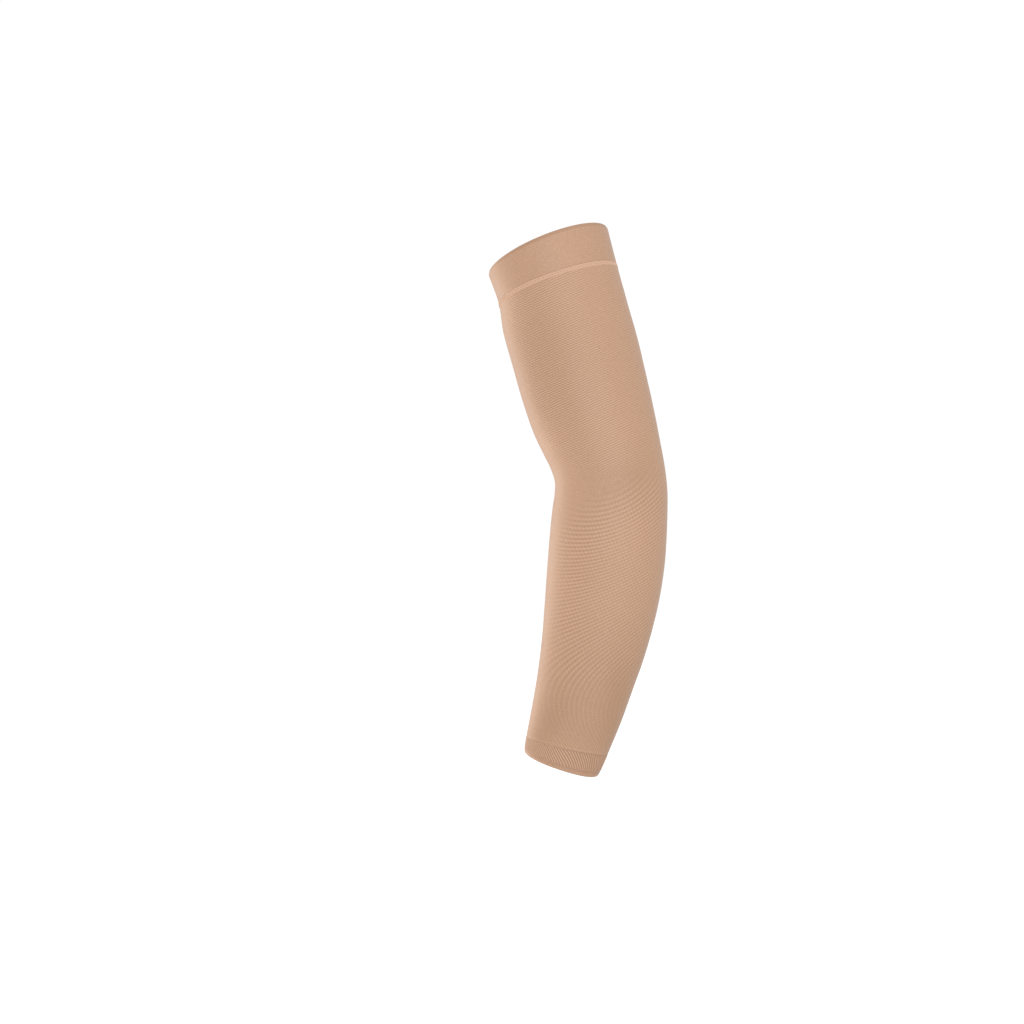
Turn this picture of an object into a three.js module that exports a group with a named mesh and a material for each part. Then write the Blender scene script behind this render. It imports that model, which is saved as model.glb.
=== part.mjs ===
// Arm compression sleeve in its worn form: a seamless knit tube with a folded band at the upper arm,
// a stitched seam under the band and a turned hem at the wrist. Millimetres, +Z up. The origin is the
// middle of the upper opening, +X points to the elbow point, -Y to the outer side of the arm.
import * as THREE from 'three';

// Driving sizes of the worn sleeve
const SLEEVE_DROP = 402;
const UPPER_ARM_BREADTH = 100;
const UPPER_ARM_DEPTH = 88;

// Knit thicknesses: single knit, folded band, turned hem
const KNIT_WALL = 1.2;
const BAND_WALL = 2;
const HEM_WALL = 1.8;

// Heights, measured on the middle line of the arm
const BAND_HEIGHT = 26.2;
const HEM_HEIGHT = 14.6;

// The seam stands a little proud of the knit on both sides of its width
const SEAM_WIDTH = 2.8;
const SEAM_PROUD = 0.3;
const SEAM_WALL = 1.9;

// The folded edge of the band and the rolled lip of the hem turn in toward the arm
const BAND_ROLL = 1;
const BAND_ROLL_HEIGHT = 4;
const LIP_HEIGHT = 3.4;
const LIP_ROLL = 0.3;

const PIECE_GAP = 0.3;
const SIDES = 44;
const FOLD_STEPS = 4;

// A soft groove runs down the outer side, between the muscles of the front and of the back
const GROOVE_ANGLE = 238;
const GROOVE_SPREAD_ANGLE = 24;

// Sections of the worn sleeve, one row each from the upper opening to the wrist.
// drop: share of the sleeve drop. sway (to the elbow point) and recede (to the inner side): shares of
// the upper-arm breadth. slope (back edge raised) and nod (outer edge raised): tilt in degrees.
// breadth and depth: shares of the upper-arm sizes. fullness: 2 is an ellipse, more is squarer.
// groove: depth of the soft groove as a share of the half-size.
const COLUMNS = ['drop', 'sway', 'recede', 'slope', 'nod', 'breadth', 'depth', 'fullness', 'groove'];
const SECTIONS = [
  [0.000, 0.003, 0.000, 20.0, 14.3, 1.002, 1.000, 2.00, 0.000],
  [0.063, 0.078, -0.020, 18.5, 9.5, 0.970, 0.990, 2.05, 0.004],
  [0.130, 0.138, -0.041, 14.6, 3.5, 0.993, 0.990, 2.05, 0.010],
  [0.199, 0.215, -0.063, 13.9, 3.5, 0.994, 0.985, 2.05, 0.014],
  [0.258, 0.277, -0.082, 16.6, 3.5, 0.983, 0.970, 2.05, 0.018],
  [0.316, 0.344, -0.100, 18.3, 3.0, 0.957, 0.940, 2.05, 0.026],
  [0.363, 0.405, -0.113, 16.5, 2.0, 0.911, 0.905, 2.10, 0.034],
  [0.397, 0.447, -0.120, 13.3, 1.0, 0.875, 0.880, 2.10, 0.038],
  [0.432, 0.480, -0.122, 8.4, -1.0, 0.860, 0.860, 2.15, 0.038],
  [0.467, 0.490, -0.115, 2.8, -4.0, 0.875, 0.860, 2.15, 0.034],
  [0.501, 0.484, -0.095, -1.8, -7.0, 0.892, 0.865, 2.10, 0.028],
  [0.548, 0.473, -0.063, -5.1, -9.0, 0.907, 0.870, 2.10, 0.020],
  [0.594, 0.460, -0.028, -6.2, -10.0, 0.911, 0.865, 2.10, 0.018],
  [0.653, 0.435, 0.016, -7.3, -10.5, 0.896, 0.835, 2.10, 0.018],
  [0.712, 0.401, 0.061, -9.5, -10.8, 0.862, 0.785, 2.10, 0.018],
  [0.771, 0.357, 0.106, -12.2, -10.8, 0.816, 0.720, 2.15, 0.018],
  [0.830, 0.302, 0.152, -14.4, -10.8, 0.763, 0.655, 2.15, 0.016],
  [0.890, 0.242, 0.198, -15.0, -10.8, 0.718, 0.595, 2.20, 0.012],
  [0.964, 0.158, 0.250, -12.5, -4.0, 0.658, 0.530, 2.20, 0.004],
  [1.000, 0.113, 0.276, -18.2, -10.8, 0.618, 0.500, 2.20, 0.000],
].map((row) => Object.fromEntries(row.map((value, index) => [COLUMNS[index], value])));

// Stretches of the knit tube with their share of its length and how many rings shape each
const TUBE_STRETCHES = [
  { until: 0.33, rings: 12 },
  { until: 0.52, rings: 12 },
  { until: 1.00, rings: 18 },
];

const KNIT_COLOUR = 0xc8a389;
const BAND_COLOUR = 0xc2a088;
const SEAM_COLOUR = 0xdbb697;
const HEM_COLOUR = 0xbd9678;

// Value of one column at any drop, by a smooth curve through the rows
function sectionValue(column, drop) {
  const last = SECTIONS.length - 1;
  let row = 0;
  while (row < last - 1 && SECTIONS[row + 1].drop <= drop) row += 1;
  const [above, below] = [SECTIONS[row], SECTIONS[row + 1]];
  const span = below.drop - above.drop;
  const rate = (index) => {
    const before = SECTIONS[Math.max(index - 1, 0)];
    const after = SECTIONS[Math.min(index + 1, last)];
    return (after[column] - before[column]) / (after.drop - before.drop);
  };
  const u = (drop - above.drop) / span;
  const blend = u * u * (3 - 2 * u);
  const easeOut = u * (1 - u) * (1 - u) * span;
  const easeIn = u * u * (u - 1) * span;
  return above[column] * (1 - blend) + below[column] * blend + rate(row) * easeOut + rate(row + 1) * easeIn;
}

// Point of the sleeve at a distance below the upper opening, an angle round the arm and an inset
function sleevePoint(distance, angle, inset) {
  const at = (column) => sectionValue(column, distance / SLEEVE_DROP);
  const slope = THREE.MathUtils.degToRad(at('slope'));
  const nod = THREE.MathUtils.degToRad(at('nod'));
  const across = new THREE.Vector3(Math.cos(slope), 0, Math.sin(slope));
  const upright = new THREE.Vector3(-Math.sin(slope), 0, Math.cos(slope));
  const inward = new THREE.Vector3(0, Math.cos(nod), 0).addScaledVector(upright, -Math.sin(nod));
  const fromGroove = (THREE.MathUtils.radToDeg(angle) - GROOVE_ANGLE) / GROOVE_SPREAD_ANGLE;
  const hollowed = 1 - at('groove') * Math.exp(-fromGroove * fromGroove);
  const full = (value) => Math.sign(value) * Math.abs(value) ** (2 / at('fullness'));
  const halfBreadth = (UPPER_ARM_BREADTH * at('breadth')) / 2 - inset;
  const halfDepth = (UPPER_ARM_DEPTH * at('depth')) / 2 - inset;
  return new THREE.Vector3(UPPER_ARM_BREADTH * at('sway'), UPPER_ARM_BREADTH * at('recede'), -distance)
    .addScaledVector(across, halfBreadth * hollowed * full(Math.cos(angle)))
    .addScaledVector(inward, halfDepth * hollowed * full(Math.sin(angle)));
}

// Closed ring of cloth: a loop of wall points, each a distance and an inset, carried round the arm
function ringPiece(name, loop, colour) {
  const positions = [];
  const faces = [];
  loop.forEach(({ distance, inset }, row) => {
    for (let side = 0; side < SIDES; side += 1) {
      positions.push(...sleevePoint(distance, (2 * Math.PI * side) / SIDES, inset).toArray());
      const nextRow = (row + 1) % loop.length;
      const nextSide = (side + 1) % SIDES;
      const [a, b] = [row * SIDES + side, row * SIDES + nextSide];
      const [c, d] = [nextRow * SIDES + side, nextRow * SIDES + nextSide];
      faces.push(a, c, d, a, d, b);
    }
  });
  const geometry = new THREE.BufferGeometry();
  geometry.setAttribute('position', new THREE.Float32BufferAttribute(positions, 3));
  geometry.setIndex(faces);
  geometry.computeVertexNormals();
  const material = new THREE.MeshStandardMaterial({ color: colour, roughness: 0.95, metalness: 0 });
  const piece = new THREE.Mesh(geometry, material);
  piece.name = name;
  return piece;
}

// Even distances from one end to the other, ends included
function evenly(from, to, count) {
  return Array.from({ length: count }, (_, index) => from + ((to - from) * index) / (count - 1));
}

// Half round edge between the two walls of a folded piece; toward is -1 at an upper edge, 1 at a lower
function foldedEdge(edge, wall, roll, toward) {
  const radius = wall / 2;
  return evenly(0, Math.PI, FOLD_STEPS + 1).map((turn) => ({
    distance: edge - toward * radius * (1 - Math.sin(turn)),
    inset: roll + radius * (1 - Math.cos(turn)),
  }));
}

const seamTop = BAND_HEIGHT + PIECE_GAP;
const seamBottom = seamTop + SEAM_WIDTH;
const tubeTop = seamBottom + PIECE_GAP;
const hemTop = SLEEVE_DROP - HEM_HEIGHT;
const tubeBottom = hemTop - PIECE_GAP;

// Folded band: straight outer wall, an edge that rolls in, and the turned-in layer behind
function topBand() {
  const outer = evenly(BAND_HEIGHT, BAND_ROLL_HEIGHT, 5).map((distance) => ({ distance, inset: 0 }));
  const shoulder = { distance: BAND_ROLL_HEIGHT / 2, inset: BAND_ROLL / 4 };
  const edge = foldedEdge(0, BAND_WALL, BAND_ROLL, -1);
  const inner = evenly(BAND_ROLL_HEIGHT, BAND_HEIGHT, 5).map((distance) => ({ distance, inset: BAND_WALL }));
  return ringPiece('top_band', [...outer, shoulder, ...edge, ...inner].reverse(), BAND_COLOUR);
}

// Stitched seam: a narrow ring with a rounded outer face
function bandSeam() {
  const middle = (seamTop + seamBottom) / 2;
  const face = evenly(0, Math.PI, 7).map((turn) => ({
    distance: middle - (Math.cos(turn) * SEAM_WIDTH) / 2,
    inset: -SEAM_PROUD * Math.sin(turn),
  }));
  const back = [{ distance: seamBottom, inset: SEAM_WALL }, { distance: seamTop, inset: SEAM_WALL }];
  return ringPiece('band_seam', [...face, ...back], SEAM_COLOUR);
}

// Knit tube: an outer and an inner wall with rings closest together over the elbow
function sleeveTube() {
  const distances = [tubeTop];
  TUBE_STRETCHES.forEach(({ until, rings }) => {
    const start = distances[distances.length - 1];
    const end = tubeTop + (tubeBottom - tubeTop) * until;
    distances.push(...evenly(start, end, rings + 1).slice(1));
  });
  const outer = distances.map((distance) => ({ distance, inset: 0 }));
  const inner = distances.map((distance) => ({ distance, inset: KNIT_WALL })).reverse();
  return ringPiece('sleeve_tube', [...outer, ...inner], KNIT_COLOUR);
}

// Turned hem: its lower edge is a plain lip that rolls in toward the wrist
function wristCuff() {
  const lipTop = SLEEVE_DROP - LIP_HEIGHT;
  const outer = evenly(hemTop, lipTop, 4).map((distance) => ({ distance, inset: 0 }));
  const shoulder = { distance: SLEEVE_DROP - LIP_HEIGHT / 2, inset: LIP_ROLL / 4 };
  const edge = foldedEdge(SLEEVE_DROP, HEM_WALL, LIP_ROLL, 1);
  const inner = evenly(lipTop, hemTop, 4).map((distance) => ({ distance, inset: HEM_WALL }));
  return ringPiece('wrist_cuff', [...outer, shoulder, ...edge, ...inner], HEM_COLOUR);
}

const sleeve = new THREE.Group();
sleeve.name = 'arm_compression_sleeve';
sleeve.add(topBand(), bandSeam(), sleeveTube(), wristCuff());

export default sleeve;
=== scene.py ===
"""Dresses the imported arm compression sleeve: fine knit tube, folded band, stitched seam, ribbed hem."""
import logging
import math
from dataclasses import dataclass, field
from enum import Enum

import bpy
import numpy as np
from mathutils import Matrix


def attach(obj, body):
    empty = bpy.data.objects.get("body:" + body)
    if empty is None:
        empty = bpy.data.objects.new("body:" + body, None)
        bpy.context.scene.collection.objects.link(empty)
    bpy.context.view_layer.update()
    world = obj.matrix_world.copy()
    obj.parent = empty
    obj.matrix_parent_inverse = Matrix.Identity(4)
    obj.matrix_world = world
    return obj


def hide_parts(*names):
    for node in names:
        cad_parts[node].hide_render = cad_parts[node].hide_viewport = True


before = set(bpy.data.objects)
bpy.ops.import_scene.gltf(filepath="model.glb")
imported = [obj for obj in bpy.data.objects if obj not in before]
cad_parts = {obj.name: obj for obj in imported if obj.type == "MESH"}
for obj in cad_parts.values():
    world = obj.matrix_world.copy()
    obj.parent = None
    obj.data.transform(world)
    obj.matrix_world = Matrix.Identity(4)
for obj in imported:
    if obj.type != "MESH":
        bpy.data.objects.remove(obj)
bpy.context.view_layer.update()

LOG = logging.getLogger("arm_sleeve")
BODY = "root"
FULL_TURN = 2 * math.pi
RIGHT_ANGLE = 90.0
CUT_EDGE_ANGLE = 50.0
# How much of its roll a soft edge has halfway over it
SHOULDER_SHARE = 0.25
HEM_TOP = 0.3874
HEM_RIBS = 92
SHEEN_ROUGHNESS = 0.45

Colour = tuple[float, float, float]
Span = tuple[float, float]
Socket = bpy.types.NodeSocket
WHITE: Colour = (1.0, 1.0, 1.0)
SHEEN_TINT: Colour = (1.0, 0.90, 0.82)


@dataclass(frozen=True)
class Section:
    """One section of the worn sleeve.

    drop is a share of the sleeve's drop. sway (to the elbow point) and recede (to the inner side) are
    shares of the upper breadth. slope (back edge raised) and nod (outer edge raised) are degrees.
    breadth and depth are shares of the upper sizes, fullness is 2 for an ellipse and more for a
    squarer form, and groove is the depth of the soft groove as a share of the half-size.
    """

    drop: float
    sway: float
    recede: float
    slope: float
    nod: float
    breadth: float
    depth: float
    fullness: float
    groove: float


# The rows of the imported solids, with the rim tilted about two degrees differently
SECTIONS = (
    Section(0.000, 0.003, 0.000, 21.5, 12.2, 0.998, 1.000, 2.00, 0.000),
    Section(0.063, 0.078, -0.020, 18.5, 9.5, 0.970, 0.990, 2.05, 0.004),
    Section(0.130, 0.138, -0.041, 14.6, 3.5, 0.993, 0.990, 2.05, 0.010),
    Section(0.199, 0.215, -0.063, 13.9, 3.5, 0.994, 0.985, 2.05, 0.014),
    Section(0.258, 0.277, -0.082, 16.6, 3.5, 0.983, 0.970, 2.05, 0.018),
    Section(0.316, 0.344, -0.100, 18.3, 3.0, 0.957, 0.940, 2.05, 0.026),
    Section(0.363, 0.405, -0.113, 16.5, 2.0, 0.911, 0.905, 2.10, 0.034),
    Section(0.397, 0.447, -0.120, 13.3, 1.0, 0.875, 0.880, 2.10, 0.038),
    Section(0.432, 0.480, -0.122, 8.4, -1.0, 0.860, 0.860, 2.15, 0.038),
    Section(0.467, 0.490, -0.115, 2.8, -4.0, 0.875, 0.860, 2.15, 0.034),
    Section(0.501, 0.484, -0.095, -1.8, -7.0, 0.892, 0.865, 2.10, 0.028),
    Section(0.548, 0.473, -0.063, -5.1, -9.0, 0.907, 0.870, 2.10, 0.020),
    Section(0.594, 0.460, -0.028, -6.2, -10.0, 0.911, 0.865, 2.10, 0.018),
    Section(0.653, 0.435, 0.016, -7.3, -10.5, 0.896, 0.835, 2.10, 0.018),
    Section(0.712, 0.401, 0.061, -9.5, -10.8, 0.862, 0.785, 2.10, 0.018),
    Section(0.771, 0.357, 0.106, -12.2, -10.8, 0.816, 0.720, 2.15, 0.018),
    Section(0.830, 0.302, 0.152, -14.4, -10.8, 0.763, 0.655, 2.15, 0.016),
    Section(0.890, 0.242, 0.198, -15.0, -10.8, 0.718, 0.595, 2.20, 0.012),
    Section(0.964, 0.158, 0.250, -12.5, -4.0, 0.658, 0.530, 2.20, 0.004),
    Section(1.000, 0.113, 0.276, -18.2, -10.8, 0.618, 0.500, 2.20, 0.000),
)


@dataclass(frozen=True)
class WornForm:
    """The surface that the sleeve takes when it is worn, in metres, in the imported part's own frame."""

    drop: float = 0.402
    breadth: float = 0.100
    depth: float = 0.088
    groove_angle: float = 238.0
    groove_spread: float = 24.0
    seam_middle: float = 0.0279
    lay_steps: int = 403
    girth_steps: int = 121

    def column(self, name: str, share: np.ndarray) -> np.ndarray:
        """Value of one column of the sections, by a smooth curve through the rows.

        Args:
            name: a field of Section.
            share: places down the sleeve as shares of its drop.

        Returns:
            One value for each place.
        """
        rows = np.array([section.drop for section in SECTIONS])
        values = np.array([getattr(section, name) for section in SECTIONS])
        near_rows, near_values = np.pad(rows, 1, mode="edge"), np.pad(values, 1, mode="edge")
        rate = (near_values[2:] - near_values[:-2]) / (near_rows[2:] - near_rows[:-2])
        row = np.clip(np.searchsorted(rows, share, side="right") - 1, 0, len(rows) - 2)
        span = rows[row + 1] - rows[row]
        u = (share - rows[row]) / span
        blend = u * u * (3 - 2 * u)
        eased = rate[row] * u * (1 - u) ** 2 * span + rate[row + 1] * u * u * (u - 1) * span
        return values[row] * (1 - blend) + values[row + 1] * blend + eased

    def points(self, distance: np.ndarray, angle: np.ndarray, inset: np.ndarray) -> np.ndarray:
        """Points of the sleeve.

        Args:
            distance: how far below the upper opening, in metres.
            angle: where round the sleeve, in radians, 0 at the elbow point and half a turn at the front.
            inset: how far inside the outer face, in metres.

        Returns:
            The points, in an array with one more axis than the arguments have together.
        """
        distance, angle, inset = np.broadcast_arrays(distance, angle, inset)
        at = {name: self.column(name, distance / self.drop) for name in Section.__dataclass_fields__}
        slope, nod = np.radians(at["slope"]), np.radians(at["nod"])
        zero = np.zeros_like(slope)
        across = np.stack([np.cos(slope), zero, np.sin(slope)], -1)
        upright = np.stack([-np.sin(slope), zero, np.cos(slope)], -1)
        inward = np.stack([zero, np.cos(nod), zero], -1) - np.sin(nod)[..., None] * upright
        from_groove = (np.degrees(angle % FULL_TURN) - self.groove_angle) / self.groove_spread
        hollowed = 1 - at["groove"] * np.exp(-from_groove**2)
        power = 2 / at["fullness"]
        back = np.sign(np.cos(angle)) * np.abs(np.cos(angle)) ** power
        inner = np.sign(np.sin(angle)) * np.abs(np.sin(angle)) ** power
        half_breadth = (self.breadth * at["breadth"] / 2 - inset) * hollowed * back
        half_depth = (self.depth * at["depth"] / 2 - inset) * hollowed * inner
        middle = np.stack([self.breadth * at["sway"], self.breadth * at["recede"], -distance], -1)
        return middle + half_breadth[..., None] * across + half_depth[..., None] * inward

    def outward(self, distance: np.ndarray, angle: np.ndarray) -> np.ndarray:
        """Unit directions out of the outer face, one for each distance and angle.

        Args:
            distance: how far below the upper opening, in metres.
            angle: where round the sleeve, in radians.

        Returns:
            The directions.
        """
        step = 0.001
        down = self.points(distance + step, angle, 0.0) - self.points(distance - step, angle, 0.0)
        turn = self.points(distance, angle + step, 0.0) - self.points(distance, angle - step, 0.0)
        normal = np.cross(down, turn)
        return normal / np.linalg.norm(normal, axis=-1, keepdims=True)

    def lay(self, distance: np.ndarray, angle: np.ndarray) -> np.ndarray:
        """Length of cloth between the seam and each place, measured down the outer face.

        The courses of the knit follow it: they are pulled up at the elbow point and lie lower in front.

        Args:
            distance: how far below the upper opening, a column of metres.
            angle: where round the sleeve, a row of radians.

        Returns:
            The lengths in metres, a row for each distance, less than 0 above the seam.
        """
        steps = np.linspace(0, self.drop, self.lay_steps)
        surface = self.points(steps[:, None], angle.reshape(1, -1), np.zeros((1, 1)))
        run = np.linalg.norm(np.diff(surface, axis=0), axis=-1)
        run = np.vstack([np.zeros(run.shape[1]), np.cumsum(run, axis=0)])
        wanted = np.clip(distance.reshape(-1), 0, self.drop)
        lengths = [np.interp(wanted, steps, side) for side in run.T]
        seam = [np.interp(self.seam_middle, steps, side) for side in run.T]
        return np.stack(lengths, axis=1) - np.array(seam)

    def girth(self, distance: np.ndarray) -> np.ndarray:
        """Length round the outer face.

        Args:
            distance: how far below the upper opening, a column of metres.

        Returns:
            One length in metres for each distance.
        """
        angle = np.linspace(0, FULL_TURN, self.girth_steps)[None, :]
        ring = self.points(distance.reshape(-1, 1), angle, np.zeros((1, 1)))
        return np.linalg.norm(np.diff(ring, axis=1), axis=-1).sum(axis=1)


@dataclass
class WallLoop:
    """The cut edge of a wall: places down the outer face and back up the inner one."""

    distance: list[float] = field(default_factory=list)
    inset: list[float] = field(default_factory=list)

    def face(self, start: float, end: float, inset: float, count: int) -> None:
        """Adds a straight face from one distance to another, at an inset, with a count of places."""
        self.distance += list(np.linspace(start, end, count))
        self.inset += [inset] * count

    def fold(self, edge: float, toward: int, wall: float, roll: float, count: int) -> None:
        """Adds a half round fold between the two faces.

        Args:
            edge: distance of the fold's outermost line.
            toward: 1 for a fold at the lower end and -1 for one at the upper end.
            wall: thickness of the folded wall.
            roll: how far the fold turns in.
            count: how many places it gets.
        """
        radius = wall / 2
        turns = np.linspace(0, math.pi, count)
        if toward < 0:
            turns = turns[::-1]
        self.distance += list(edge - toward * radius * (1 - np.sin(turns)))
        self.inset += list(roll + radius * (1 - np.cos(turns)))


def place_mesh(
    name: str, points: np.ndarray, faces: list[tuple[int, ...]], smooth: bool = True
) -> bpy.types.Object:
    """Makes a mesh and places it in the scene.

    Args:
        name: what it is called.
        points: its corners.
        faces: the numbers of each face's corners.
        smooth: whether its faces are shaded as one.

    Returns:
        The object.
    """
    mesh = bpy.data.meshes.new(name)
    mesh.from_pydata(points.reshape(-1, 3).tolist(), [], faces)
    mesh.polygons.foreach_set("use_smooth", np.full(len(mesh.polygons), smooth))
    mesh.update()
    placed = bpy.data.objects.new(name, mesh)
    bpy.context.scene.collection.objects.link(placed)
    return placed


class ClothMesh:
    """Makes rings of cloth from a wall's loop carried all the way round."""

    def __init__(self, form: WornForm) -> None:
        """Keeps the worn form that every piece follows."""
        self.form = form

    def ring(
        self,
        name: str,
        loop: WallLoop,
        sides: int,
        ribs: np.ndarray | None = None,
        rib_relief: float = 0.0,
    ) -> bpy.types.Object:
        """A closed ring of cloth.

        Args:
            name: the piece's name.
            loop: the wall's cut edge.
            sides: how many places it has all round.
            ribs: 1 on a rib and 0 between two, a row for each place of the loop, or None.
            rib_relief: how far the ribs stand proud.

        Returns:
            The piece, with its places, its lie and its ribs as UV maps.
        """
        distance = np.array(loop.distance)[:, None]
        inset = np.array(loop.inset)[:, None]
        angle = (np.arange(sides) * FULL_TURN / sides)[None, :]
        points = self.form.points(distance, angle, inset)
        if ribs is not None:
            points = points + rib_relief * (ribs - 0.5)[..., None] * self.form.outward(distance, angle)
        lay = self.form.lay(distance, angle)
        half_girth = self.form.girth(distance)[:, None] / 2
        around = half_girth * np.abs(angle - math.pi) / math.pi
        level, turns = np.broadcast_arrays(distance, angle / FULL_TURN)
        maps = {"place": (turns, level), "lie": (around, lay)}
        if ribs is not None:
            maps["ribs"] = (ribs, level)
        return self.grid(name, points, maps)

    @staticmethod
    def grid(
        name: str, points: np.ndarray, maps: dict[str, tuple[np.ndarray, np.ndarray]]
    ) -> bpy.types.Object:
        """Joins a grid of points into a smooth closed piece.

        Args:
            name: the piece's name.
            points: the grid, closed on itself along both axes.
            maps: the UV maps by name, each with two values at each point. The map called place starts
                with turns round the sleeve, which count on to 1 past the last side.

        Returns:
            The piece.
        """
        rows, sides = points.shape[:2]
        row, side = np.meshgrid(np.arange(rows), np.arange(sides), indexing="ij")
        next_row, next_side = (row + 1) % rows, (side + 1) % sides
        corners = [(row, side), (next_row, side), (next_row, next_side), (row, next_side)]
        faces = np.stack([r * sides + s for r, s in corners], -1).reshape(-1, 4)
        piece = place_mesh(name, points, faces.tolist())
        at_last_side = side + 1 == sides
        last = np.stack([np.zeros_like(side), np.zeros_like(side), at_last_side, at_last_side], -1)
        for title, (first, second) in maps.items():
            u = np.stack([first[r, s] for r, s in corners], -1)
            if title == "place":
                u = u + last
            v = np.stack([second[r, s] for r, s in corners], -1)
            layer = piece.data.uv_layers.new(name=title)
            layer.data.foreach_set("uv", np.stack([u, v], -1).reshape(-1).astype(np.float32))
        piece.data.set_sharp_from_angle(angle=math.radians(CUT_EDGE_ANGLE))
        return piece


class Shading:
    """Places the nodes of one material and joins them."""

    MIX_FACTOR, MIX_FIRST, MIX_SECOND, MIX_RESULT = 0, 6, 7, 2

    def __init__(self, name: str) -> None:
        """Starts an empty material with a principled shader.

        Args:
            name: the material's name.
        """
        self.material = bpy.data.materials.new(name)
        self.material.use_nodes = True
        self.tree = self.material.node_tree
        self.shader = self.tree.nodes["Principled BSDF"]

    def node(self, kind: str, **settings: object) -> bpy.types.Node:
        """Adds a node.

        Args:
            kind: the node's type.
            settings: the node's own properties.

        Returns:
            The node.
        """
        made = self.tree.nodes.new(kind)
        for name, value in settings.items():
            setattr(made, name, value)
        return made

    def feed(self, socket: Socket, value: Socket | float | Colour) -> None:
        """Joins a socket to another, or sets its value.

        Args:
            socket: where the value goes.
            value: another socket, a number or a colour.
        """
        if isinstance(value, bpy.types.NodeSocket):
            self.tree.links.new(value, socket)
        elif isinstance(value, tuple):
            socket.default_value = (*value, 1.0)
        else:
            socket.default_value = value

    def math(self, operation: str, *values: Socket | float, clamp: bool = False) -> Socket:
        """Adds a math node.

        Args:
            operation: what the node does.
            values: what it works on.
            clamp: whether the result is kept between 0 and 1.

        Returns:
            The result.
        """
        made = self.node("ShaderNodeMath", operation=operation, use_clamp=clamp)
        for socket, value in zip(made.inputs, values):
            self.feed(socket, value)
        return made.outputs[0]

    def times(self, first: Socket, second: Socket | float, more: Socket | float = 0.0) -> Socket:
        """The first value times the second, with more added."""
        return self.math("MULTIPLY_ADD", first, second, more)

    def cloth_place(self, layer: str) -> tuple[Socket, Socket]:
        """The two coordinates of a UV map.

        Args:
            layer: the map's name.

        Returns:
            The place round the sleeve and the place down it.
        """
        parts = self.node("ShaderNodeSeparateXYZ")
        self.feed(parts.inputs[0], self.node("ShaderNodeUVMap", uv_map=layer).outputs[0])
        return parts.outputs[0], parts.outputs[1]

    def object_place(self) -> tuple[Socket, Socket]:
        """Places in the object's own space.

        Returns:
            The place toward the elbow point and the place down the sleeve, in metres.
        """
        parts = self.node("ShaderNodeSeparateXYZ")
        self.feed(parts.inputs[0], self.node("ShaderNodeTexCoord").outputs["Object"])
        return parts.outputs[0], self.times(parts.outputs[2], -1.0)

    def wave(self, phase: Socket) -> Socket:
        """A wave from 0 to 1, one for each whole number of the phase."""
        swing = self.math("COSINE", self.times(phase, FULL_TURN))
        return self.times(swing, 0.5, 0.5)

    def step(self, value: Socket, start: float, end: float) -> Socket:
        """Goes smoothly from 0 at the start value to 1 at the end value.

        Args:
            value: what is read.
            start: where the result is 0.
            end: where the result is 1.

        Returns:
            The result.
        """
        made = self.node("ShaderNodeMapRange", interpolation_type="SMOOTHSTEP")
        for name, setting in (("Value", value), ("From Min", start), ("From Max", end)):
            self.feed(made.inputs[name], setting)
        return made.outputs["Result"]

    def blend(self, share: float, first: Socket, second: Socket) -> Socket:
        """Goes from the first value at a share of 0 to the second at 1."""
        return self.times(second, share, self.times(first, 1 - share))

    def checks(self, around: Socket, lay: Socket, pitch: float) -> Socket:
        """A fine check from 0 to 1 of waves round the sleeve and down it."""
        wales, courses = [self.wave(self.math("DIVIDE", run, pitch)) for run in (around, lay)]
        return self.blend(0.5, wales, courses)

    def noise(self, scale: float, detail: float) -> Socket:
        """A noise from 0 to 1 in the object's own space.

        Args:
            scale: how many blotches fit in a metre.
            detail: how many finer layers it has.

        Returns:
            The noise.
        """
        made = self.node("ShaderNodeTexNoise")
        self.feed(made.inputs["Vector"], self.node("ShaderNodeTexCoord").outputs["Object"])
        self.feed(made.inputs["Scale"], scale)
        self.feed(made.inputs["Detail"], detail)
        return made.outputs[0]

    def mix(self, factor: Socket, first: Socket | Colour, second: Socket | Colour) -> Socket:
        """Mixes two colours.

        Args:
            factor: 0 for the first colour and 1 for the second.
            first: a colour.
            second: a colour.

        Returns:
            The mixed colour.
        """
        made = self.node("ShaderNodeMix", data_type="RGBA")
        self.feed(made.inputs[self.MIX_FACTOR], factor)
        self.feed(made.inputs[self.MIX_FIRST], first)
        self.feed(made.inputs[self.MIX_SECOND], second)
        return made.outputs[self.MIX_RESULT]

    def surface(self, **values: Socket | float | Colour) -> None:
        """Feeds the shader's own sockets, each named with _ for a space."""
        for name, value in values.items():
            self.feed(self.shader.inputs[name.replace("_", " ")], value)

    def bump(self, height: Socket, relief: float) -> None:
        """Gives the shader a bump.

        Args:
            height: the pattern, from 0 to 1.
            relief: how high 1 stands, in metres.
        """
        made = self.node("ShaderNodeBump")
        self.feed(made.inputs["Strength"], 1.0)
        self.feed(made.inputs["Distance"], relief)
        self.feed(made.inputs["Height"], height)
        self.feed(self.shader.inputs["Normal"], made.outputs[0])


class Knit(Enum):
    """How a stretch of the sleeve is knitted."""

    PLAIN = "plain courses"
    DOUBLE = "fine double knit"
    RIBBED = "ribs with plain stitches"


@dataclass(frozen=True)
class PaintedLightStrip:
    """A strip all round of painted light (lift above 0) or painted shade (lift below 0) on the knit, in
    metres down the sleeve.
    """

    start: float
    end: float
    lift: float
    soft: float = 0.0006


@dataclass(frozen=True)
class PaintedLightPatch:
    """A soft patch of painted light (lift above 0) or painted shade (lift below 0) on the knit.

    around is measured from the front and lay from the seam, in metres along the cloth. width and
    height are how far it reaches along both.
    """

    around: float
    lay: float
    width: float
    height: float
    lift: float


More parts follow.
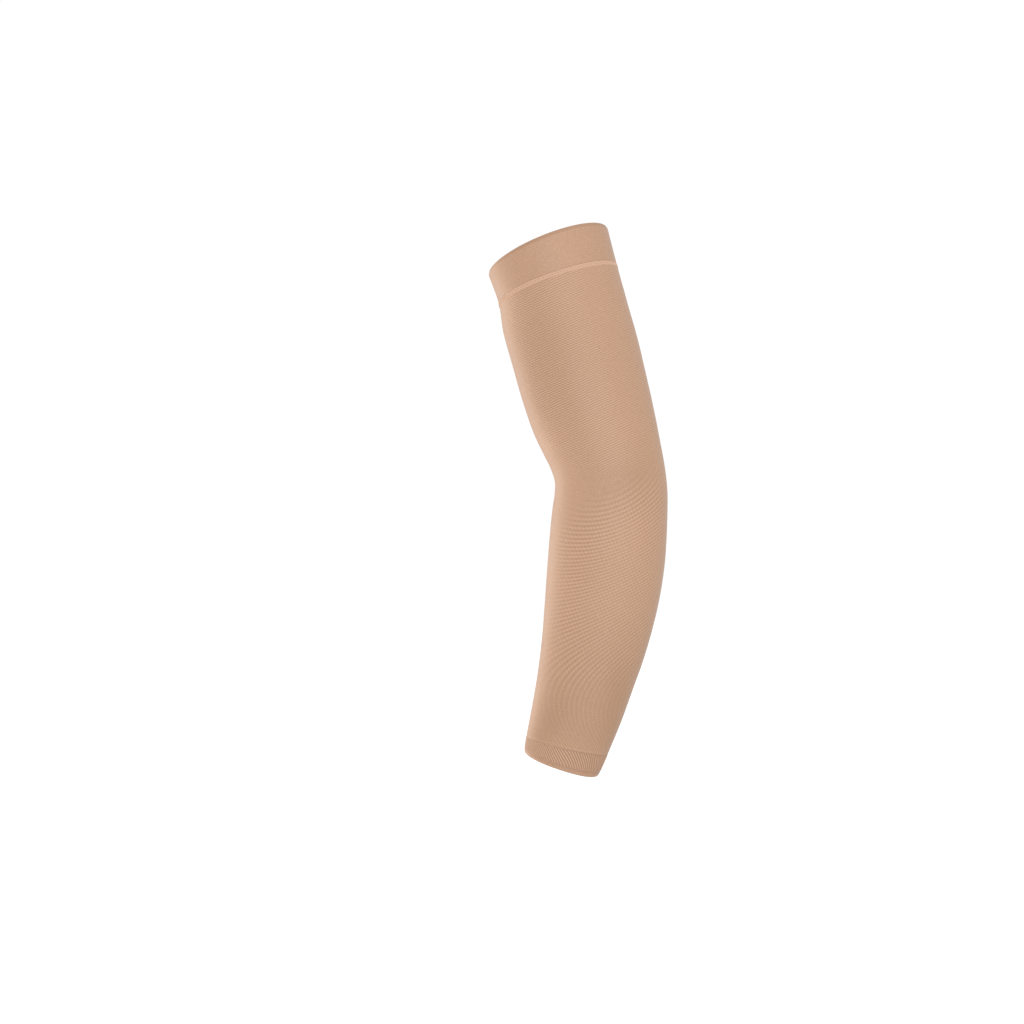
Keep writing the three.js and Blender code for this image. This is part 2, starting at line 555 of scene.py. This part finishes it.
@dataclass(frozen=True)
class KnitFinish:
    """Elastic knit: rows of small V stitches with faint ripples across them.

    wales is how many columns of stitches go round and course is the height of one stitch in metres.
    The tone goes from 0, the shade, to 1, the yarn's own colour. fade, cloud and fleck are blotches
    for each metre, with the share of the tone, or of the ripples, that they take.
    """

    name: str
    knit: Knit
    yarn: Colour
    shade: Colour
    wales: int
    course: float
    relief: float
    ripple: float
    check_pitch: float = 0.0019
    # Painted light and painted shade, in bands all round and in soft spots
    strips: tuple[PaintedLightStrip, ...] = ()
    painted_light_patches: tuple[PaintedLightPatch, ...] = ()
    leg_rise: float = 0.5
    base_tone: float = 0.3
    stitch_tone: float = 0.45
    ripple_relief: float = 0.6
    fade_scale: float = 38.0
    fade_detail: float = 2.0
    fade_edges: Span = (0.35, 0.65)
    fade_share: float = 0.3
    cloud_scale: float = 22.0
    cloud_detail: float = 3.0
    cloud_share: float = 0.16
    fleck_scale: float = 1300.0
    fleck_detail: float = 1.0
    fleck_share: float = 1.3
    # Painted shade: darker toward the wrist, over a span of lay and by a share of the tone
    wrist_shade_from: Span = (0.24, 0.36)
    wrist_shade_share: float = 0.3
    sheen: float = 0.25
    roughness: float = 0.6
    stitch_gloss: float = 0.1
    specular: float = 0.5

    def stitch_height(self, shading: Shading) -> Socket:
        """Height of the small stitches, from 0 to 1.

        Args:
            shading: the material's nodes.

        Returns:
            The height.
        """
        turns, _ = shading.cloth_place("place")
        _, lay = shading.cloth_place("lie")
        across = shading.math("FRACT", shading.times(turns, float(self.wales)))
        from_middle = shading.math("ABSOLUTE", shading.times(across, 2.0, -1.0))
        leg_lift = shading.times(from_middle, -self.leg_rise)
        leg = shading.wave(shading.math("ADD", shading.math("DIVIDE", lay, self.course), leg_lift))
        round_wale = shading.math("SUBTRACT", 1.0, shading.math("POWER", from_middle, 2.0))
        return shading.times(leg, 0.5, shading.times(round_wale, 0.5))

    def ripple_height(self, shading: Shading) -> Socket:
        """Height of the faint ripples that cross the stitches, from 0 to 1.

        Args:
            shading: the material's nodes.

        Returns:
            The height.
        """
        if self.knit is Knit.PLAIN:
            return LieOfRipples(shading).height()
        if self.knit is Knit.DOUBLE:
            around, lay = shading.cloth_place("lie")
            return shading.checks(around, lay, self.check_pitch)
        return shading.cloth_place("ribs")[0]

    def with_painted_light(self, shading: Shading, tone: Socket) -> Socket:
        """Adds the painted light and painted shade, each strip and patch of it, to the tone.

        Args:
            shading: the material's nodes.
            tone: the tone so far.

        Returns:
            The tone, kept between 0 and 1.
        """
        _, level = shading.cloth_place("place")
        for strip in self.strips:
            begun = shading.step(level, strip.start - strip.soft, strip.start + strip.soft)
            ended = shading.step(level, strip.end - strip.soft, strip.end + strip.soft)
            here = shading.math("SUBTRACT", begun, ended)
            tone = shading.times(here, strip.lift, tone)
        around, lay = shading.cloth_place("lie")
        for patch in self.painted_light_patches:
            beside = shading.math("DIVIDE", shading.math("SUBTRACT", around, patch.around), patch.width)
            below = shading.math("DIVIDE", shading.math("SUBTRACT", lay, patch.lay), patch.height)
            squared = shading.times(below, below)
            squared = shading.times(beside, beside, squared)
            here = shading.math("EXPONENT", shading.times(squared, -1.0))
            tone = shading.times(here, patch.lift, tone)
        return shading.math("ADD", tone, 0.0, clamp=True)

    def material(self) -> bpy.types.Material:
        """Makes the material.

        Returns:
            The material.
        """
        shading = Shading(self.name)
        stitches = self.stitch_height(shading)
        tone = shading.times(stitches, self.stitch_tone, self.base_tone)
        ripples = self.ripple_height(shading)
        fade = shading.step(shading.noise(self.fade_scale, self.fade_detail), *self.fade_edges)
        fade = shading.times(fade, self.fade_share, 1 - self.fade_share)
        fade = shading.times(fade, self.ripple)
        swell = shading.times(shading.math("SUBTRACT", ripples, 0.5), fade)
        tone = shading.math("ADD", tone, swell)
        cloud = shading.noise(self.cloud_scale, self.cloud_detail)
        cloud = shading.times(cloud, self.cloud_share, -self.cloud_share / 2)
        fleck = shading.noise(self.fleck_scale, self.fleck_detail)
        fleck = shading.times(fleck, self.fleck_share, -self.fleck_share / 2)
        tone = shading.math("ADD", shading.math("ADD", tone, cloud), fleck)
        _, lay = shading.cloth_place("lie")
        # Painted shade toward the wrist
        wrist_shade = shading.times(shading.step(lay, *self.wrist_shade_from), -self.wrist_shade_share)
        tone = self.with_painted_light(shading, shading.math("ADD", tone, wrist_shade))
        shading.surface(
            Base_Color=shading.mix(tone, self.shade, self.yarn),
            Roughness=shading.times(stitches, -self.stitch_gloss, self.roughness),
            Specular_IOR_Level=self.specular,
            Sheen_Weight=self.sheen,
            Sheen_Roughness=SHEEN_ROUGHNESS,
            Sheen_Tint=SHEEN_TINT,
        )
        height = shading.times(ripples, self.ripple * self.ripple_relief, stitches)
        shading.bump(height, self.relief)
        return shading.material


@dataclass
class LieOfRipples:
    """How the faint ripples lie on the long tube, in metres in the part's own frame.

    Above the elbow two families cross, one along the courses and a fainter one against them. From
    the elbow down one family rises to the back and swings upright at the wrist, a faint hatch runs
    lengthwise, and the hem's ribs show faintly just above the hem. The values with per in their
    names are ripples for each metre, or for each square metre where the ripples get closer. A Span
    is where something begins and where it is complete.
    """

    shading: Shading
    upper_pitch: float = 0.00174
    upper_lean: float = 24.0
    against: float = 0.3
    upper_gain: float = 3.5
    upper_middle: Span = (0.065, 0.100)
    upper_behind: float = 0.35
    upper_faint: Span = (0.158, 0.184)
    lower_start: Span = (0.178, 0.220)
    start_slant: float = 0.5
    lower_middle: tuple[float, float] = (0.041, 0.2605)
    lower_down_per: float = 398.0
    lower_back_per: float = 136.0
    lower_back_growth_per: float = 3500.0
    lower_turn_per: float = 1530.0
    growth_ends_after: float = 0.120
    upright_after: float = 0.101
    lower_gain: float = 1.5
    hatch_pitch: float = 0.0026
    hatch_lean: float = 23.0
    hatch: float = 0.28
    faint: Span = (0.320, 0.348)
    faded: float = 0.33
    front_rim: Span = (0.008, 0.046)
    back_rim: Span = (0.03, 0.11)
    wrist: Span = (0.270, 0.330)
    wrist_rim: float = 0.03
    hem_lean_per: float = 447.0
    hem_near: Span = (0.374, 0.381)
    hem_gain: float = 1.1

    def __post_init__(self) -> None:
        """Finds the places that the ripples depend on."""
        self.around, _ = self.shading.cloth_place("lie")
        self.turns, self.level = self.shading.cloth_place("place")
        self.back, self.down = self.shading.object_place()

    def straight(self, lean: float, pitch: float) -> Socket:
        """A family of straight ripples that rise to the back.

        Args:
            lean: how much they rise, in degrees.
            pitch: distance from one to the next.

        Returns:
            The waves, from 0 to 1.
        """
        across = self.shading.times(self.back, math.sin(math.radians(lean)))
        across = self.shading.times(self.down, math.cos(math.radians(lean)), across)
        return self.shading.wave(self.shading.math("DIVIDE", across, pitch))

    def swung(self) -> Socket:
        """The family that swings upright on its way down.

        Returns:
            The waves, from 0 to 1.
        """
        shading = self.shading
        behind = shading.math("SUBTRACT", self.back, self.lower_middle[0])
        below = shading.math("SUBTRACT", self.down, self.lower_middle[1])
        cubed = shading.math("POWER", shading.math("ABSOLUTE", below), 3.0)
        cubed = shading.times(cubed, shading.math("SIGN", below))
        bend = shading.times(cubed, -self.lower_down_per / (3 * self.upright_after**2))
        downward = shading.times(below, self.lower_down_per, bend)
        growth = shading.times(below, -1 / self.growth_ends_after, 1.0)
        growth = shading.times(shading.times(growth, behind), self.lower_back_growth_per / 2)
        rate = shading.times(below, self.lower_turn_per, shading.math("ADD", growth, self.lower_back_per))
        return shading.wave(shading.times(rate, behind, downward))

    def swell(self, waves: Socket, gain: Socket) -> Socket:
        """Turns waves from 0 to 1 into a swell around 0 with its own gain."""
        return self.shading.times(self.shading.math("SUBTRACT", waves, 0.5), gain)

    def upper_gain_here(self) -> Socket:
        """How strong the upper families are: fainter to the back, and gone at the elbow.

        Returns:
            The gain.
        """
        shading = self.shading
        fall = shading.times(shading.step(self.around, *self.upper_middle), self.upper_behind - 1, 1.0)
        left = shading.math("SUBTRACT", 1.0, shading.step(self.down, *self.upper_faint))
        return shading.times(shading.times(fall, left), self.upper_gain)

    def lower_gain_here(self) -> Socket:
        """How strong the lower families are: fainter at the wrist, and gone straight behind.

        Returns:
            The gain.
        """
        shading = self.shading
        faint = shading.times(shading.step(self.down, *self.faint), self.faded - 1, 1.0)
        behind = shading.math("SUBTRACT", self.back, self.lower_middle[0])
        begun = shading.step(shading.times(behind, self.start_slant, self.down), *self.lower_start)
        gain = shading.times(shading.times(faint, begun), self.lower_gain)
        from_front = shading.math("ABSOLUTE", shading.math("SUBTRACT", self.turns, 0.5))
        from_back = shading.math("SUBTRACT", 0.5, from_front)
        from_back = shading.times(shading.step(self.down, *self.wrist), -self.wrist_rim, from_back)
        return shading.times(gain, shading.step(from_back, *self.back_rim))

    def above_hem(self) -> Socket:
        """The hem's ribs, which show faintly through the last of the tube.

        Returns:
            Their swell around 0.
        """
        fall = self.shading.math("SUBTRACT", HEM_TOP, self.level)
        lean = self.shading.times(fall, self.hem_lean_per)
        ribs = self.shading.wave(self.shading.times(self.turns, float(HEM_RIBS), lean))
        near = self.shading.times(self.shading.step(self.level, *self.hem_near), self.hem_gain)
        return self.swell(ribs, near)

    def height(self) -> Socket:
        """Height of the ripples.

        Returns:
            The height, around 0.5.
        """
        leans = (self.upper_lean, -self.upper_lean)
        along, against = [self.straight(lean, self.upper_pitch) for lean in leans]
        upper = self.shading.blend(self.against, along, against)
        hatch = self.straight(self.hatch_lean - RIGHT_ANGLE, self.hatch_pitch)
        lower = self.shading.blend(self.hatch, self.swung(), hatch)
        swing = self.shading.math("ADD", self.swell(lower, self.lower_gain_here()), self.above_hem())
        swing = self.shading.math("ADD", self.swell(upper, self.upper_gain_here()), swing)
        return self.shading.times(swing, self.shading.step(self.around, *self.front_rim), 0.5)


@dataclass(frozen=True)
class ThreadFinish:
    """Matt sewing thread whose ply shows as fine flecks."""

    name: str
    thread: Colour
    shade: Colour
    ply_scale: float = 2200.0
    ply_detail: float = 1.0
    ply_relief: float = 0.00005
    ply_gloss: float = 0.15
    roughness: float = 0.75
    specular: float = 0.3
    sheen: float = 0.3

    def material(self) -> bpy.types.Material:
        """Makes the material.

        Returns:
            The material.
        """
        shading = Shading(self.name)
        ply = shading.noise(self.ply_scale, self.ply_detail)
        shading.surface(
            Base_Color=shading.mix(ply, self.shade, self.thread),
            Roughness=shading.times(ply, -self.ply_gloss, self.roughness),
            Specular_IOR_Level=self.specular,
            Sheen_Weight=self.sheen,
            Sheen_Roughness=SHEEN_ROUGHNESS,
            Sheen_Tint=SHEEN_TINT,
        )
        shading.bump(ply, self.ply_relief)
        return shading.material


@dataclass(frozen=True)
class PaperFinish:
    """Plain pale studio floor."""

    name: str
    tint: Colour
    glow: float = 0.35
    roughness: float = 0.9
    specular: float = 0.1

    def material(self) -> bpy.types.Material:
        """Makes the material.

        Returns:
            The material.
        """
        shading = Shading(self.name)
        shading.surface(
            Base_Color=self.tint,
            Roughness=self.roughness,
            Emission_Color=self.tint,
            Emission_Strength=self.glow,
            Specular_IOR_Level=self.specular,
        )
        return shading.material


def settle(piece: bpy.types.Object, material: bpy.types.Material) -> None:
    """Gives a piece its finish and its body.

    Args:
        piece: the piece.
        material: its finish.
    """
    piece.data.materials.append(material)
    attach(piece, BODY)
    LOG.info("%s: %d faces", piece.name, len(piece.data.polygons))


@dataclass
class SleeveTube:
    """The long seamless tube of fine knit from the seam to the hem."""

    cloth: ClothMesh
    top: float = 0.0294
    bottom: float = 0.3873
    wall: float = 0.0012
    rings: int = 240
    inner_rings: int = 80
    sides: int = 192
    flat_girth: float = 0.26
    flat_length: float = 0.37
    flat_area: float = 0.076
    finish: KnitFinish = KnitFinish(
        name="sleeve_knit",
        knit=Knit.PLAIN,
        yarn=(0.572, 0.347, 0.223),
        shade=(0.415, 0.239, 0.142),
        wales=300,
        course=0.00095,
        relief=0.00006,
        ripple=0.85,
        # Painted highlight: a lighter band all round just above the hem
        strips=(PaintedLightStrip(start=0.3851, end=0.39, lift=0.15),),
        # Painted shade where lift is below 0 and painted light where it is above 0, in soft spots over
        # the upper arm, the elbow and near the wrist
        painted_light_patches=(
            PaintedLightPatch(around=0.046, lay=0.055, width=0.032, height=0.045, lift=-0.32),
            PaintedLightPatch(around=0.075, lay=0.080, width=0.050, height=0.085, lift=-0.16),
            PaintedLightPatch(around=0.024, lay=0.122, width=0.018, height=0.018, lift=0.42),
            PaintedLightPatch(around=0.076, lay=0.165, width=0.024, height=0.022, lift=-0.3),
            PaintedLightPatch(around=0.006, lay=0.330, width=0.020, height=0.030, lift=0.3),
            PaintedLightPatch(around=0.030, lay=0.350, width=0.014, height=0.022, lift=-0.2),
            PaintedLightPatch(around=0.077, lay=0.352, width=0.011, height=0.045, lift=-0.25),
        ),
    )

    def build(self) -> None:
        """Builds and dresses the tube."""
        loop = WallLoop()
        loop.face(self.top, self.bottom, 0.0, self.rings)
        loop.face(self.bottom, self.top, self.wall, self.inner_rings)
        piece = self.cloth.ring("knit_tube", loop, self.sides)
        settle(piece, self.finish.material())
        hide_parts("sleeve_tube")


@dataclass
class TopBand:
    """The folded band of double knit, with a soft edge that rolls in a little."""

    cloth: ClothMesh
    height: float = 0.0262
    wall: float = 0.002
    roll: float = 0.0004
    roll_height: float = 0.003
    sides: int = 240
    rings: int = 26
    inner_rings: int = 14
    fold_rings: int = 11
    flat_girth: float = 0.27
    flat_height: float = 0.027
    finish: KnitFinish = KnitFinish(
        name="band_knit",
        knit=Knit.DOUBLE,
        yarn=(0.548, 0.330, 0.211),
        shade=(0.402, 0.230, 0.138),
        wales=330,
        course=0.0008,
        relief=0.00004,
        ripple=0.5,
        fleck_share=1.6,
        # Painted shadow: a dark line along the band's top edge
        strips=(PaintedLightStrip(start=-0.01, end=0.0026, lift=-0.5),),
    )

    def build(self) -> None:
        """Builds and dresses the band."""
        loop = WallLoop()
        loop.face(self.roll_height / 2, self.roll_height / 2, self.roll * SHOULDER_SHARE, 1)
        loop.face(self.roll_height, self.height, 0.0, self.rings)
        loop.face(self.height, self.roll_height, self.wall, self.inner_rings)
        loop.fold(0.0, -1, self.wall, self.roll, self.fold_rings)
        piece = self.cloth.ring("folded_band", loop, self.sides)
        settle(piece, self.finish.material())
        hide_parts("top_band")


@dataclass
class BandSeam:
    """The pale stitched seam: a narrow tape with two rows of stitches and the threads between them.

    row_lift, cross_lift and thread_pinch are shares of the thread's radius, stitch_gap and row_shift
    are shares of a stitch, and off_threads is a direction that no thread runs in.
    """

    cloth: ClothMesh
    top: float = 0.0263
    width: float = 0.0031
    wall: float = 0.0019
    proud: float = 0.0001
    tape_sides: int = 240
    face_rings: int = 9
    back_rings: int = 3
    stitch_pitch: float = 0.0022
    stitch_gap: float = 0.14
    row_offset: float = 0.0009
    row_shift: float = 0.35
    row_lift: float = 0.35
    cross_lift: float = 0.2
    thread_radius: float = 0.00036
    thread_pinch: float = 0.45
    thread_sink: float = 0.0002
    thread_sides: int = 6
    thread_rings: int = 7
    off_threads: tuple[float, float, float] = (0.3, 0.2, 0.9)
    tape: ThreadFinish = ThreadFinish(
        name="seam_tape", thread=(0.58, 0.362, 0.242), shade=(0.48, 0.295, 0.195)
    )
    thread: ThreadFinish = ThreadFinish(
        name="seam_thread", thread=(0.765, 0.505, 0.356), shade=(0.65, 0.42, 0.285)
    )

    def build_tape(self) -> None:
        """Builds and dresses the tape under the stitches."""
        turns = np.linspace(0, math.pi, self.face_rings)
        loop = WallLoop()
        loop.distance = list(self.top + self.width * (1 - np.cos(turns)) / 2)
        loop.inset = list(-self.proud * np.sin(turns))
        loop.face(self.top + self.width, self.top, self.wall, self.back_rings)
        piece = self.cloth.ring("seam_tape", loop, self.tape_sides)
        settle(piece, self.tape.material())
        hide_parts("band_seam")

    def thread_path(self, start: np.ndarray, end: np.ndarray, lift: float) -> np.ndarray:
        """Middle lines of many short threads that arch over the tape.

        Args:
            start: distance and angle at which each thread goes in.
            end: distance and angle at which each thread comes out.
            lift: how high its middle stands.

        Returns:
            The lines, one row for each thread.
        """
        share = np.linspace(0, 1, self.thread_rings)[None, :]
        distance = start[:, :1] * (1 - share) + end[:, :1] * share
        angle = start[:, 1:] * (1 - share) + end[:, 1:] * share
        height = self.proud - self.thread_sink + lift * np.sin(math.pi * share)
        surface = self.cloth.form.points(distance, angle, np.zeros((1, 1)))
        return surface + height[..., None] * self.cloth.form.outward(distance, angle)

    def build_stitches(self) -> None:
        """Builds and dresses both rows of stitches and the threads that cross between them."""
        middle = self.top + self.width / 2
        girth = float(self.cloth.form.girth(np.array([middle]))[0])
        count = round(girth / self.stitch_pitch)
        pitch = FULL_TURN / count
        starts = np.arange(count) * pitch
        stitch = pitch * (1 - self.stitch_gap)
        shift = self.row_shift * pitch
        upper_row = np.full(count, middle - self.row_offset)
        lower_row = np.full(count, middle + self.row_offset)
        runs = (
            (upper_row, starts, upper_row, starts + stitch, self.row_lift),
            (lower_row, starts + shift, lower_row, starts + shift + stitch, self.row_lift),
            (upper_row, starts + stitch, lower_row, starts + stitch + shift, self.cross_lift),
        )
        lines = []
        for row, angle, end_row, end_angle, lift in runs:
            start, end = np.stack([row, angle], -1), np.stack([end_row, end_angle], -1)
            lines.append(self.thread_path(start, end, lift * self.thread_radius))
        piece = self.threads("seam_stitches", np.concatenate(lines))
        settle(piece, self.thread.material())

    def threads(self, name: str, lines: np.ndarray) -> bpy.types.Object:
        """Short round threads with pinched ends.

        Args:
            name: the piece's name.
            lines: the middle lines, one row for each thread.

        Returns:
            The piece.
        """
        sides = self.thread_sides
        count, steps = lines.shape[:2]
        ahead = np.gradient(lines, axis=1)
        ahead /= np.linalg.norm(ahead, axis=-1, keepdims=True)
        up = np.broadcast_to(np.array(self.off_threads), ahead.shape)
        side = np.cross(ahead, up)
        side /= np.linalg.norm(side, axis=-1, keepdims=True)
        over = np.cross(side, ahead)
        share = np.linspace(0, math.pi, steps)
        swollen = (1 - self.thread_pinch) * np.sqrt(np.sin(share))
        radius = self.thread_radius * (self.thread_pinch + swollen)
        turn = np.arange(sides) * FULL_TURN / sides
        ring = (
            np.cos(turn)[None, None, :, None] * side[:, :, None, :]
            + np.sin(turn)[None, None, :, None] * over[:, :, None, :]
        )
        points = lines[:, :, None, :] + ring * radius[None, :, None, None]
        faces: list[tuple[int, ...]] = []
        for thread in range(count):
            first = thread * steps * sides
            for step in range(steps - 1):
                for corner in range(sides):
                    a = first + step * sides + corner
                    b = first + step * sides + (corner + 1) % sides
                    faces.append((a, b, b + sides, a + sides))
            faces.append(tuple(first + corner for corner in reversed(range(sides))))
            faces.append(tuple(first + (steps - 1) * sides + corner for corner in range(sides)))
        return place_mesh(name, points, faces)


@dataclass
class WristCuff:
    """The turned hem: slanted ribs, a fold line above them and a plain lip that rolls in below."""

    cloth: ClothMesh
    top: float = HEM_TOP
    bottom: float = 0.402
    wall: float = 0.0018
    lip_height: float = 0.0034
    lip_roll: float = 0.0003
    ribs: int = HEM_RIBS
    rib_lean: float = 0.85
    rib_relief: float = 0.0003
    ribs_begin_over: float = 0.0012
    ribs_end_over: float = 0.001
    lip_start: float = 0.0006
    sides: int = 736
    rings: int = 18
    lip_rings: int = 3
    fold_rings: int = 9
    inner_rings: int = 6
    flat_girth: float = 0.17
    flat_height: float = 0.0155
    finish: KnitFinish = KnitFinish(
        name="cuff_knit",
        knit=Knit.RIBBED,
        yarn=(0.600, 0.360, 0.232),
        shade=(0.350, 0.197, 0.119),
        wales=192,
        course=0.0008,
        relief=0.00005,
        ripple=2.0,
        # Painted shade: darker lines along the fold line at the hem's top and at the lip's top; painted
        # highlight: a lighter lip
        strips=(
            PaintedLightStrip(start=0.3868, end=0.3882, lift=-0.05),
            PaintedLightStrip(start=0.3985, end=0.3993, lift=-0.05),
            PaintedLightStrip(start=0.3999, end=0.41, lift=0.25),
        ),
        # Painted light: a lighter soft spot toward the front of the hem
        painted_light_patches=(PaintedLightPatch(around=0.02, lay=0.37, width=0.025, height=0.02, lift=0.14),),
    )

    def rib_rows(self, loop: WallLoop) -> np.ndarray:
        """Where the ribs lie: on the hem's outer face, and not on its fold line or on the lip.

        Args:
            loop: the hem's cut edge.

        Returns:
            1 on a rib, 0 between two and 0.5 on plain knit, a row for each place of the loop.
        """
        distance = np.array(loop.distance)[:, None]
        outside = (np.array(loop.inset)[:, None] < self.wall / 2).astype(float)
        turns = (np.arange(self.sides) / self.sides)[None, :]
        girth = self.cloth.form.girth(distance)[:, None]
        lean = self.rib_lean * (distance - self.top) * self.ribs / girth
        ribs = 0.5 * np.cos(FULL_TURN * (turns * self.ribs - lean))
        begun = np.clip((distance - self.top) / self.ribs_begin_over, 0, 1)
        left = np.clip((self.bottom - self.lip_height - distance) / self.ribs_end_over, 0, 1)
        return 0.5 + ribs * outside * begun * left

    def build(self) -> None:
        """Builds and dresses the hem."""
        lip_top = self.bottom - self.lip_height
        loop = WallLoop()
        lip_middle = self.bottom - self.lip_height / 2
        loop.face(self.top, lip_top, 0.0, self.rings)
        shoulder = self.lip_roll * SHOULDER_SHARE
        loop.face(lip_top + self.lip_start, lip_middle, shoulder, self.lip_rings)
        loop.fold(self.bottom, 1, self.wall, self.lip_roll, self.fold_rings)
        loop.face(lip_top, self.top, self.wall, self.inner_rings)
        piece = self.cloth.ring("turned_hem", loop, self.sides, self.rib_rows(loop), self.rib_relief)
        settle(piece, self.finish.material())
        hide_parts("wrist_cuff")


@dataclass(frozen=True)
class SoftLight:
    """A broad soft light.

    soft is how broad it looks, azimuth is measured to the right of the camera and height above the
    horizon, all in degrees.
    """

    name: str
    strength: float
    soft: float
    azimuth: float
    height: float
    tint: Colour = WHITE


@dataclass
class Studio:
    """Camera, lights, pale floor and white surroundings, in metres, with the sensor in millimetres.

    middle is the point that the camera faces, across and up.
    """

    camera_distance: float = 2.0
    seen_width: float = 0.79872
    sensor: float = 36.0
    middle: tuple[float, float] = (-0.02769, -0.20358)
    floor_drop: float = 0.66
    floor_radius: float = 9.0
    floor_sides: int = 96
    floor: PaperFinish = PaperFinish("pale_floor", (0.93, 0.93, 0.93))
    surround: float = 0.66
    seen_surround: float = 1.02
    lights: tuple[SoftLight, ...] = (
        SoftLight("key", strength=1.4, soft=50.0, azimuth=8.0, height=-4.0),
        SoftLight("edge", strength=1.8, soft=50.0, azimuth=-118.0, height=-5.0, tint=(1.0, 0.88, 0.79)),
        SoftLight("overhead", strength=0.6, soft=60.0, azimuth=40.0, height=65.0),
    )

    def place_camera(self) -> None:
        """Stands the camera level in front of the outer side of the sleeve."""
        data = bpy.data.cameras.new("camera")
        data.sensor_width = self.sensor
        data.lens = self.sensor * self.camera_distance / self.seen_width
        camera = bpy.data.objects.new("camera", data)
        camera.location = (self.middle[0], -self.camera_distance, self.middle[1])
        camera.rotation_euler = (math.pi / 2, 0, 0)
        bpy.context.scene.collection.objects.link(camera)
        bpy.context.scene.camera = camera

    @staticmethod
    def hang_light(light: SoftLight) -> None:
        """Hangs a light.

        Args:
            light: what it is and where it comes from.
        """
        data = bpy.data.lights.new(light.name, "SUN")
        data.energy = light.strength
        data.color = light.tint
        data.angle = math.radians(light.soft)
        lamp = bpy.data.objects.new(light.name, data)
        tilt = math.radians(RIGHT_ANGLE - light.height)
        lamp.rotation_euler = (tilt, 0, math.radians(light.azimuth))
        bpy.context.scene.collection.objects.link(lamp)

    def lay_floor(self) -> None:
        """Lays a round pale floor under the sleeve."""
        turns = np.arange(self.floor_sides) * FULL_TURN / self.floor_sides
        across, along = self.floor_radius * np.cos(turns), self.floor_radius * np.sin(turns)
        rim = np.stack([across, along, np.full(self.floor_sides, -self.floor_drop)], -1)
        floor = place_mesh("floor", rim, [tuple(range(self.floor_sides))], smooth=False)
        floor.data.materials.append(self.floor.material())
        floor.visible_diffuse = False
        floor.visible_glossy = False
        floor.visible_shadow = False

    def white_surround(self) -> None:
        """Fills the surroundings with white, a little dimmer as light than it looks."""
        world = bpy.data.worlds.new("white")
        world.use_nodes = True
        tree = world.node_tree
        back = tree.nodes["Background"]
        back.inputs["Color"].default_value = (*WHITE, 1.0)
        seen = tree.nodes.new("ShaderNodeLightPath").outputs["Is Camera Ray"]
        lift = tree.nodes.new("ShaderNodeMath")
        lift.operation = "MULTIPLY_ADD"
        tree.links.new(seen, lift.inputs[0])
        lift.inputs[1].default_value = self.seen_surround - self.surround
        lift.inputs[2].default_value = self.surround
        tree.links.new(lift.outputs[0], back.inputs["Strength"])
        bpy.context.scene.world = world

    def build(self) -> None:
        """Sets up the whole studio."""
        bpy.context.scene.view_settings.view_transform = "Standard"
        self.place_camera()
        self.white_surround()
        for light in self.lights:
            self.hang_light(light)
        self.lay_floor()
        LOG.info("studio ready")


def main() -> None:
    """Builds the sleeve piece by piece and then the studio."""
    logging.basicConfig(level=logging.INFO, format="%(name)s: %(message)s")
    cloth = ClothMesh(WornForm())
    TopBand(cloth).build()
    seam = BandSeam(cloth)
    seam.build_tape()
    seam.build_stitches()
    SleeveTube(cloth).build()
    WristCuff(cloth).build()
    Studio().build()


if __name__ == "__main__":
    main()
